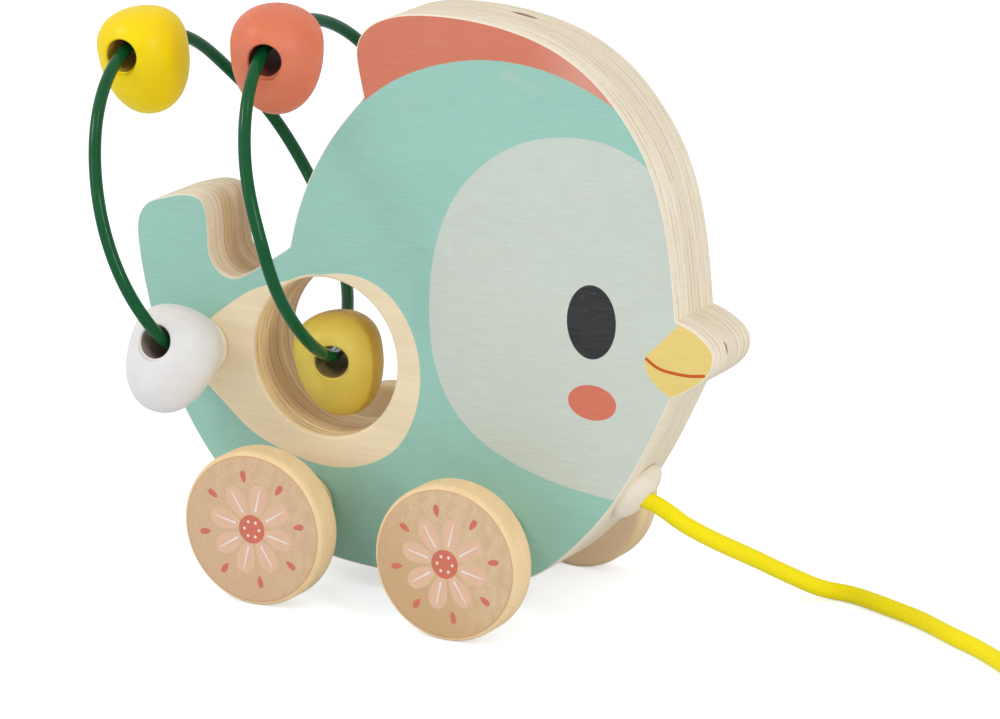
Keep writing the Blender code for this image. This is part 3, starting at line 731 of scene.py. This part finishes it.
# The notch mask marks where the edge gets painted shade, in the notch before the tail.
notch = away(ply_place, NOTCH_MIDDLE, (1, 0, 0.75))
gives(plies, {"End Grain": end_grain, "Glue": glue, "Ticks": marks, "Gaps": maths("MAXIMUM", *gaps),
              "Tone": plus(times(sheet_tone.outputs["Color"], 0.7),
                           times(minus(patch, 0.35), 0.7)),
              "Notch Shade": stepped(notch, 9 * MM, 17 * MM, 1.0, 0.0),
              "Depth": minus(times(marks, 0.35), glue)})


def sanded_plies(name, long_grain, end_tone, tick, line, contrast):
    """The sawn and sanded edge of the plywood, in its own tones, with painted shade darkening it in the notch
    before the tail.
    """
    made, tree, shader = material(name, 0.6, Specular_IOR_Level=0.3)
    layers = node(tree, "Group", node_tree=plies).outputs
    toned = mixed(stepped(layers["Tone"], 0.0, 0.8, 0.0, contrast), long_grain, end_tone)
    tone = mixed(times(layers["End Grain"], 0.25), toned, end_tone)
    marked = mixed(stepped(layers["Ticks"], 0.42, 0.72, 0.0, 0.34), tone, tick)
    glued = mixed(times(layers["Glue"], 0.62), marked, line)
    # Painted shade: the edge is multiplied darker in the notch before the tail, most on the darker plies.
    notch_painted_shade = times(layers["Notch Shade"], stepped(layers["Tone"], 0.0, 0.8, 0.4, 1.0))
    shaded = mixed(notch_painted_shade, glued, (214, 194, 168), "MULTIPLY")
    gapped = mixed(layers["Gaps"], shaded, (138, 98, 70))
    surfaced(shader, gapped, layers["Depth"], 0.22, 0.12 * MM)
    return made


sawn_edge = sanded_plies("sanded plywood edge", (243, 232, 210), (227, 210, 180), (218, 200, 168),
                         (168, 138, 106), 0.6)
window_edge = sanded_plies("sanded window wall", (255, 231, 180), (212, 174, 128), (220, 184, 136),
                           (100, 66, 40), 0.8)

# Printed paint over brushed wood: short level dashes, finer than a hair, and faint warm smudges.
streaks, streaks_in = group("brushed streaks", {"Tilt": ("Vector", (0, radians(1.5), 0))})
streak_turn = node(streaks, "VectorRotate", rotation_type="EULER_XYZ")
link(spot(streaks), streak_turn.inputs["Vector"])
link(streaks_in["Tilt"], streak_turn.inputs["Rotation"])
tilted = streak_turn.outputs["Vector"]
hair = noise(tilted, (120, 1, 1500), 3.0, 0.6)
broad = noise(tilted, (16, 1, 70))
dash = stepped(noise(tilted, (330, 1, 1900), 1.0), 0.58, 0.72)
where = stepped(noise(tilted, (40, 1, 60), 1.0), 0.40, 0.62)
gives(streaks, {"Tone": plus(times(hair, 0.7), times(broad, 0.3)),
                "Dashes": times(dash, where),
                "Smudge": stepped(noise(tilted, (60, 1, 150)), 0.60, 0.80)})


def tinted(colour, factor, lift=0.0):
    """A linear colour made darker or lighter."""
    return tuple(min(c * factor + lift, 1.0) for c in colour[:3]) + (1.0,)


def printed(name, colour, contrast=0.045, painted_sheen=0.0):
    """A flat printed colour over brushed wood; its last argument pales it towards the forehead as a painted
    sheen.
    """
    made, tree, shader = material(name, 0.5, Specular_IOR_Level=0.35)
    brushed = node(tree, "Group", node_tree=streaks).outputs
    ink = linear(colour)
    tone = stepped(brushed["Tone"], 0.3, 0.7)
    level = mixed(tone, tinted(ink, 1 - contrast), tinted(ink, 1 + contrast))
    # Painted highlight: the brushed dashes are printed lighter than the ink, as glints.
    painted_glint = tinted(ink, 1 + 2.5 * contrast, 0.012)
    dashed = mixed(times(brushed["Dashes"], 0.6), level, painted_glint)
    warmed = mixed(times(brushed["Smudge"], 0.16), dashed, (222, 205, 168))
    # Painted sheen: the print pales towards a light tone towards the forehead.
    forehead = stepped(parts(spot(tree))["X"], 36 * MM, 58 * MM, 0.0, painted_sheen)
    paled = mixed(forehead, warmed, (244, 226, 212))
    surfaced(shader, paled, plus(brushed["Tone"], brushed["Dashes"]), 0.12, 0.05 * MM)
    return made


bare_face = wood("bare plywood face", (246, 229, 195), (239, 219, 182), (230, 207, 168), 0.55, bump=0.06,
                 Specular_IOR_Level=0.3)
teal = printed("teal print", (153, 200, 184))
pale = printed("pale face print", (202, 209, 197))
# The coral crest carries a painted sheen at its front end.
crest_coral = printed("coral crest print", (211, 121, 95), painted_sheen=0.2)
yellow = printed("yellow beak print", (232, 205, 120))
rust = printed("rust mouth print", (200, 85, 14))
charcoal = printed("charcoal eye print", (41, 41, 42), 0.45)
cheek_coral = printed("coral cheek print", (213, 116, 91))
dress(bird, sawn_edge, teal, pale, crest_coral, bare_face, yellow, rust, charcoal, cheek_coral, window_edge)
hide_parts("bird_body")
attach(bird, "bird")


# The button on the chest: a dome of pale wood turned on a short stem, which is glued into the bird's edge.
# The cord comes out through its middle, and its knot sits behind the stem.
PLUG_RADIUS = 8.8 * MM
PLUG_RIM = 1.6 * MM
PLUG_CHAMFER = 0.3 * MM
# Height of the darker band at the dome's foot: the glue joint and the painted shadow in the thin gap.
JOINT_SHADOW_BAND = 0.8 * MM
CHAMBER_RADIUS = 5.6 * MM
STEM_LENGTH = 5.0 * MM


def dome_profile(radius, height, rim, bore):
    """A button's dome over a short upright rim, with a softened mouth round its bore."""
    lip = 0.25 * MM
    top = np.arccos((bore + lip) / radius)
    dome = [(radius * cos(a), rim + (height - rim) * sin(a)) for a in np.linspace(0, top, 14)]
    edge = dome[-1][1]
    mouth = np.linspace(0.3, pi / 2, 4)
    return dome + [(bore + lip * (1 - sin(a)), edge - lip * (1 - cos(a))) for a in mouth]


plug_bore = CORD_RADIUS + 0.08 * MM
plug_stem = CHAMBER_RADIUS - GAP
plug_profile = [(plug_bore, -STEM_LENGTH), (plug_stem, -STEM_LENGTH), (plug_stem, 0),
                (PLUG_RADIUS - PLUG_CHAMFER, 0), (PLUG_RADIUS - 0.1 * MM, 0.85 * MM)]
plug_profile += dome_profile(PLUG_RADIUS, PLUG_HEIGHT, PLUG_RIM, plug_bore)
plug_foot = PLUG_SEAT - PLUG_AXIS * (SEAT_DEPTH - GAP)
plug = stand(turned_mesh("chest_button", plug_profile, 72), plug_foot, PLUG_AXIS)
# The foot of the dome gets a darker band, for the glue joint and the painted shadow in the thin gap to the
# bird.
dress(plug, sanded_maple, wood("glue joint and painted shadow", (186, 146, 92), (164, 124, 76), (140, 104, 62), 0.6))
for face in plug.data.polygons:
    face.material_index = int(0 < face.center.z < JOINT_SHADOW_BAND and face.center.xy.length > CHAMBER_RADIUS)
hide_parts("cord_plug")
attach(plug, "bird")


# The wheels: beech discs with well rounded edges, glued on wooden axles, with loose spacers beside the bird.
# Their outer faces carry a printed rosette in peach and coral with fine white lines.
WHEEL_RADIUS = 21.0 * MM
WHEEL_WIDTH = 9.5 * MM
WHEEL_FACE_Y = 41.5 * MM
WHEEL_ROUND = 1.8 * MM
REAR_AXLE_X, FRONT_AXLE_X = -24.2 * MM, 33.5 * MM
AXLE_RADIUS = 4.0 * MM
WHEEL_BORE_DEPTH = 6.5 * MM
SPOKES = 8
FIRST_SPOKE = 0.2


def petal(inner, outer, width):
    """A rounded petal's outline, as places along and across a spoke."""
    turns = np.linspace(0, 2 * pi, 28, endpoint=False)
    return [((inner + outer) / 2 + (outer - inner) / 2 * cos(t), width / 2 * sin(t) * (0.78 + 0.22 * cos(t)))
            for t in turns]


def all_round(outline, turn):
    """An outline repeated on every spoke."""
    shapes = []
    for k in range(SPOKES):
        a = turn + 2 * pi * k / SPOKES
        shapes.append(np.array([(u * cos(a) - v * sin(a), u * sin(a) + v * cos(a)) for u, v in outline]) * MM)
    return shapes


WHEEL_PEACH, WHEEL_CORAL, WHEEL_WHITE = 1, 2, 3
vein = [(5.0, 0.3), (11.4, 0.12), (11.4, -0.12), (5.0, -0.3)]
wheel_print = [(WHEEL_PEACH, shape) for shape in all_round(petal(3.4, 12.6, 6.6), FIRST_SPOKE)]
wheel_print += [(WHEEL_WHITE, shape) for shape in all_round(vein, FIRST_SPOKE)]
outer_turn = FIRST_SPOKE + pi / SPOKES
wheel_print += [(WHEEL_CORAL, shape) for shape in all_round(petal(12.7, 16.0, 2.1), outer_turn)]
wheel_print += [(WHEEL_CORAL, oval(0, 0, 3.9, 3.9, 36) * MM)]
for t in np.arange(6) * pi / 3:
    wheel_print.append((WHEEL_WHITE, oval(2.2 * cos(t), 2.2 * sin(t), 0.42, 0.42, 12) * MM))


def printed_wheel(name):
    """A disc about Z whose printed face looks along -Z, where its +X points left."""
    bm = bmesh.new()
    r, w, b = WHEEL_RADIUS, WHEEL_WIDTH, AXLE_RADIUS + GAP
    arc = np.linspace(0, pi / 2, 7)
    profile = [(r - WHEEL_ROUND * (1 - cos(a)), WHEEL_ROUND * (1 - sin(a))) for a in arc[::-1]]
    profile += [(r - WHEEL_ROUND * (1 - cos(a)), w - WHEEL_ROUND * (1 - sin(a))) for a in arc]
    profile += [(b, w), (b, w - WHEEL_BORE_DEPTH)]
    rings = [[bm.verts.new((*p, height)) for p in oval(0, 0, radius, radius, 96)]
             for radius, height in profile]
    wall(bm, rings)
    bm.faces.new(rings[-1])
    face_outline = oval(0, 0, profile[0][0], profile[0][0], 96)
    flat_print(bm, [(face_outline, rings[0])], wheel_print, lambda p: (p.x, p.y, 0), 0)
    return finished(name, bm)


# Beech: pinkish and speckled on the sawn discs' faces, smoother and more golden round their rims.
def oiled_beech(name, deep, light, shaded_corner):
    """Beech with a printed face between two tones, turning to a painted shade tone in its lower corner; the
    face beside the bird is bare.
    """
    made, tree, shader = material(name, 0.55, Specular_IOR_Level=0.3)
    place = spot(tree)
    outward = parts(node(tree, "TexCoord").outputs["Normal"])["Z"]
    on_face = stepped(maths("ABSOLUTE", outward), 0.90, 0.99)
    bare_side = stepped(outward, 0.60, 0.80)
    oiled_side = minus(1.0, bare_side)
    at_corner = times(times(on_face, minus(1.0, on_face)), 3.0)
    rings = grown(tree, "Y")
    mottle = stepped(noise(place, (330, 190, 330), 3.0, 0.6), 0.32, 0.68)
    rays = noise(place, (2700, 900, 2700), 2.0, 0.6)
    rim_wood = mixed(stepped(rings["Bands"], 0.3, 0.7), (236, 203, 152), (242, 213, 168))
    lie = parts(place)
    # Painted shade: the oiled face turns to the last given tone towards its lower corner.
    shaded_part = stepped(minus(lie["Y"], lie["X"]), -20 * MM, 10 * MM, 1.0, 0.0)
    oiled_face = mixed(shaded_part, mixed(mottle, deep, light), shaded_corner)
    face_wood = mixed(bare_side, oiled_face, (246, 210, 174))
    speckles = times(stepped(rays, 0.54, 0.74, 0.0, 0.55), oiled_side)
    speckled = mixed(speckles, face_wood, (186, 148, 108))
    body = mixed(on_face, rim_wood, speckled)
    edged = mixed(times(at_corner, oiled_side), body, (196, 140, 88))
    flecks_shown = times(rings["Flecks"], stepped(outward, 0.6, 0.8, 0.22, 0.08))
    flecked = mixed(flecks_shown, edged, (178, 136, 92))
    surfaced(shader, flecked, plus(rings["Height"], rays), 0.08, 0.08 * MM)
    return made


def on_beech(name, colour):
    """A thin print that lets the beech show through a little."""
    made, tree, shader = material(name, 0.5)
    rings = grown(tree, "Y")
    ink = linear(colour)
    worn_ink = mixed(stepped(rings["Bands"], 0.3, 0.7), tinted(ink, 0.92), ink)
    surfaced(shader, worn_ink, rings["Height"], 0.08, 0.08 * MM)
    return made


dowel = wood("beech dowel", (236, 203, 152), (226, 190, 142), (196, 154, 108), 0.55, "Y",
             Specular_IOR_Level=0.3)
wheel_prints = [on_beech("peach print", (230, 186, 154)), on_beech("coral print", (211, 112, 86)),
                on_beech("white print", (241, 226, 220))]
# The last tone of each pair of wheels is painted shade for the lower corner of their faces.
for end, x, deep, light, shaded_corner in (
        ("front", FRONT_AXLE_X, (210, 177, 138), (220, 190, 152), (205, 168, 124)),
        ("rear", REAR_AXLE_X, (210, 175, 138), (218, 185, 149), (213, 178, 141))):
    body = end + "_wheels"
    beech = oiled_beech(end + " oiled beech", deep, light, shaded_corner)
    for label, side in (("left", -1), ("right", 1)):
        wheel = printed_wheel("beech_disc_%s_%s" % (end, label))
        facing = Matrix(((side, 0, 0), (0, 0, -side), (0, 1, 0))).to_4x4()
        wheel.matrix_world = Matrix.Translation((x, side * WHEEL_FACE_Y, WHEEL_RADIUS)) @ facing
        dress(wheel, beech, *wheel_prints)
        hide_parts("%s_wheel_%s" % (end, label))
        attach(wheel, body)
        refinish("%s_spacer_%s" % (end, label), dowel)
    refinish(end + "_axle", dowel)


# The maze wire: one length of 3.4 mm wire in a glossy dark green coat, bent in two leaning loops.
# Both its ends are pressed into the bird, through turned caps that hide the holes.
WIRE_RADIUS = 1.7 * MM
LOOP_RADIUS = 45.7 * MM
LOOP_RISE = 48.4 * MM
LOOP_LEAN = radians(19.0)
LOOP_1 = Vector((-66.0, 0, 93.8)) * MM
LOOP_2 = Vector((-20.5, 0, 102.7)) * MM
NEAR_END = Vector((-57.3, 0, 59.5)) * MM
FAR_END = Vector((17.9, 0, 62.0)) * MM
SOCKET_DEPTH = 8.0 * MM
LEAVING = [(-57.3, -15.5, 59.5), (-55, -24.5, 61.4), (-54.8, -33.2, 65.1), (-56.2, -39.7, 71),
           (-59.4, -43.8, 78.7), (-62.9, -45.9, 87.1)]
LOOP_1_STOPS = (178, 160, 140, 120, 100, 80, 60, 42)
CROSSING = [(-69.4, 40.5, 114.2), (-61.8, 42.6, 103.9), (-53.7, 41.1, 93.8), (-45.5, 37, 84.4),
            (-37.9, 30.2, 76.1), (-31.2, 21.2, 69.0), (-25.8, 10.5, 63.1), (-20.8, -2.0, 61.1),
            (-17.0, -14.3, 63.1), (-15.9, -26.5, 69.7), (-16.5, -36.1, 79), (-17.8, -43.1, 90.3)]
LOOP_2_STOPS = (184, 165, 145, 125, 105, 85, 65, 45, 27)
RETURNING = [(-19.5, 45.9, 106), (-14.1, 44.3, 96.3), (-8.4, 41.6, 87), (-1.9, 37.4, 78.8),
             (4.8, 31.6, 71.9), (11.3, 24.2, 66.3), (17.8, 15.8, 62)]
CAP_RADIUS = 8.0 * MM
CAP_HEIGHT = 3.4 * MM
CAP_RIM = 0.9 * MM
CAP_CHAMFER = 0.3 * MM


def loop_points(centre, stops):
    rise = Vector((-sin(LOOP_LEAN), 0, cos(LOOP_LEAN)))
    turns = [radians(stop) for stop in stops]
    return [centre + LOOP_RADIUS * cos(a) * Vector((0, 1, 0)) + LOOP_RISE * sin(a) * rise for a in turns]


wire_route = [NEAR_END - Vector((0, SLAB / 2, 0))] + [Vector(p) * MM for p in LEAVING]
wire_route += loop_points(LOOP_1, LOOP_1_STOPS) + [Vector(p) * MM for p in CROSSING]
wire_route += loop_points(LOOP_2, LOOP_2_STOPS) + [Vector(p) * MM for p in RETURNING]
wire_route.append(FAR_END + Vector((0, SLAB / 2, 0)))
wire_free = smooth_through(wire_route, 2.0 * MM)
wire_tuck = np.array((0, SOCKET_DEPTH - GAP, 0))
wire_path = np.concatenate([[wire_free[0] + wire_tuck], wire_free, [wire_free[-1] - wire_tuck]])
wire = tube_mesh("coated_wire", wire_path, WIRE_RADIUS, 24)
green, tree, shader = material("glossy green coat", 0.12, Specular_IOR_Level=0.2)
coat = mixed(noise(spot(tree), 60.0), (5, 74, 36), (10, 92, 47))
coat_ripple = noise(spot(tree), 700.0)
surfaced(shader, coat, coat_ripple, 0.1, 0.15 * MM)
link(stepped(coat_ripple, 0.3, 0.7, 0.08, 0.15), shader.inputs["Roughness"])
dress(wire, green)
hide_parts("maze_wire")
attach(wire, "bird")

cap_bore = WIRE_RADIUS + GAP + 0.1 * MM
cap_profile = [(cap_bore, 0), (CAP_RADIUS - CAP_CHAMFER, 0)]
cap_profile += dome_profile(CAP_RADIUS, CAP_HEIGHT, CAP_RIM, cap_bore)
for label, end, side in (("left", NEAR_END, -1), ("right", FAR_END, 1)):
    cap_foot = end + Vector((0, side * (SLAB / 2 + GAP), 0))
    cap = stand(turned_mesh("turned_cap_" + label, cap_profile, 64), cap_foot, (0, side, 0))
    dress(cap, sanded_maple)
    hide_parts("wire_cap_" + label)
    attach(cap, "bird")


# The beads: turned wood in satin paint, broad above and narrower below, drilled across above the middle.
# The drill's mouths are sanded round. Each bead hangs on the wire and tips as the wire lets it.
BEAD_RADIUS = 12.2 * MM
BEAD_TOP, BEAD_BOTTOM = 10.5 * MM, 18.6 * MM
BEAD_BORE_RADIUS = 4.4 * MM
BEAD_BORE_UP = 4.2 * MM
BEAD_MOUTH = 0.6 * MM
MOUTH_DEPTH = 11.15 * MM
DRILL_REACH = 14.0 * MM
TOP_FULLNESS, BOTTOM_FULLNESS = 2.33, 2.17


def bead_profile(scale):
    """Half a bead, from top to bottom: two rounded caps, each with its own height and fullness."""
    middle = (BEAD_TOP - BEAD_BOTTOM) / 2
    profile = []
    for share in np.cos(np.linspace(0, pi, 85)):
        reach, power = (BEAD_TOP, TOP_FULLNESS) if share > 0 else (BEAD_BOTTOM, BOTTOM_FULLNESS)
        radius = BEAD_RADIUS * (1 - min(abs(share), 1.0) ** power) ** (1 / power)
        profile.append((radius * scale, (share * reach - middle) * scale))
    profile[0] = (0.0, profile[0][1])
    profile[-1] = (0.0, profile[-1][1])
    return profile


def drilled_bead(name, at, yaw, pitch, roll, scale):
    """A bead with its bore cut along its own Y, turned as it hangs on the wire."""
    bead = turned_mesh(name, bead_profile(scale), 144, closed=False)
    rim = MOUTH_DEPTH * scale - BEAD_MOUTH
    bend = np.linspace(0, 1.45, 6)
    flare = [(BEAD_BORE_RADIUS + BEAD_MOUTH * (1 - cos(a)), rim + BEAD_MOUTH * sin(a)) for a in bend]
    half = [(BEAD_BORE_RADIUS, 0)] + flare + [(flare[-1][0] + 1.5 * MM, DRILL_REACH), (0, DRILL_REACH)]
    cutter_profile = [(0, -DRILL_REACH)] + [(r, -h) for r, h in reversed(half[1:-1])] + half
    drill = turned_mesh(name + " drill", cutter_profile, 64, closed=False)
    drill.matrix_world = Matrix.Translation((0, 0, BEAD_BORE_UP * scale)) @ Matrix.Rotation(pi / 2, 4, "X")
    hole = bead.modifiers.new("drill", "BOOLEAN")
    hole.operation = "DIFFERENCE"
    hole.solver = "EXACT"
    hole.object = drill
    bpy.context.view_layer.update()
    drilled = bpy.data.meshes.new_from_object(bead.evaluated_get(bpy.context.evaluated_depsgraph_get()))
    bead.modifiers.clear()
    bead.data = drilled
    bpy.data.objects.remove(drill, do_unlink=True)
    drilled.shade_smooth()
    drilled.set_sharp_from_angle(angle=radians(30))
    # The faces of the bore take the second material, which is the bore's painted shade.
    for face in drilled.polygons:
        from_axis = (face.center.x ** 2 + (face.center.z - BEAD_BORE_UP * scale) ** 2) ** 0.5
        face.material_index = int(from_axis < BEAD_BORE_RADIUS + 0.15 * BEAD_MOUTH)
    bead.matrix_world = (Matrix.Translation(Vector(at) * MM) @ Matrix.Rotation(radians(yaw), 4, "Z")
                         @ Matrix.Rotation(radians(-pitch), 4, "X") @ Matrix.Rotation(radians(roll), 4, "Y"))
    return bead


def satin_paint(name, colour, shade):
    """Dipped paint on turned wood: nearly even, with faint lathe rings under it."""
    made, tree, shader = material(name, 0.5, Specular_IOR_Level=0.15, Coat_Weight=0.15, Coat_Roughness=0.28)
    place = spot(tree)
    cloud = noise(place, 110.0)
    rings = noise(place, (40, 40, 1400))
    skin = noise(place, 420.0)
    level = plus(times(cloud, 0.7), times(rings, 0.3))
    painted = mixed(stepped(level, 0.3, 0.7), shade, colour)
    surfaced(shader, painted, plus(times(rings, 0.5), skin), 0.05, 0.1 * MM)
    link(stepped(skin, 0.3, 0.7, 0.44, 0.54), shader.inputs["Roughness"])
    return made


# Each bead's last three tones are its paint darkened: painted shade inside its bore, over a wood grain.
for name, at, yaw, pitch, roll, scale, colour, shade, bore in (
        ("yellow", (-79.8, -4.4, 133.7), 1.0, -5.0, -10.4, 1.0, (250, 220, 4), (247, 212, 2),
         ((196, 156, 44), (160, 122, 34), (120, 88, 26))),
        ("coral", (-35.1, -11.5, 140.5), 13.3, -10.1, 2.6, 1.01, (226, 129, 96), (220, 118, 85),
         ((140, 62, 50), (112, 46, 40), (84, 34, 30))),
        ("white", (-57.3, -28.0, 59.3), -0.8, 17.4, 12.6, 1.0, (237, 234, 231), (232, 228, 224),
         ((172, 156, 142), (146, 128, 112), (112, 96, 82))),
        ("mustard", (-19.6, -3.0, 57.9), 20.3, -4.4, -9.4, 0.975, (221, 196, 89), (214, 186, 78),
         ((156, 134, 76), (128, 108, 62), (98, 82, 48)))):
    bead = drilled_bead("painted_bead_" + name, at, yaw, pitch, roll, scale)
    dress(bead, satin_paint(name + " satin paint", colour, shade),
          wood(name + " bore in painted shade", *bore, 0.7, "Y", 0.3))
    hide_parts("bead_" + name)
    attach(bead, name + "_bead")


bpy.context.view_layer.update()
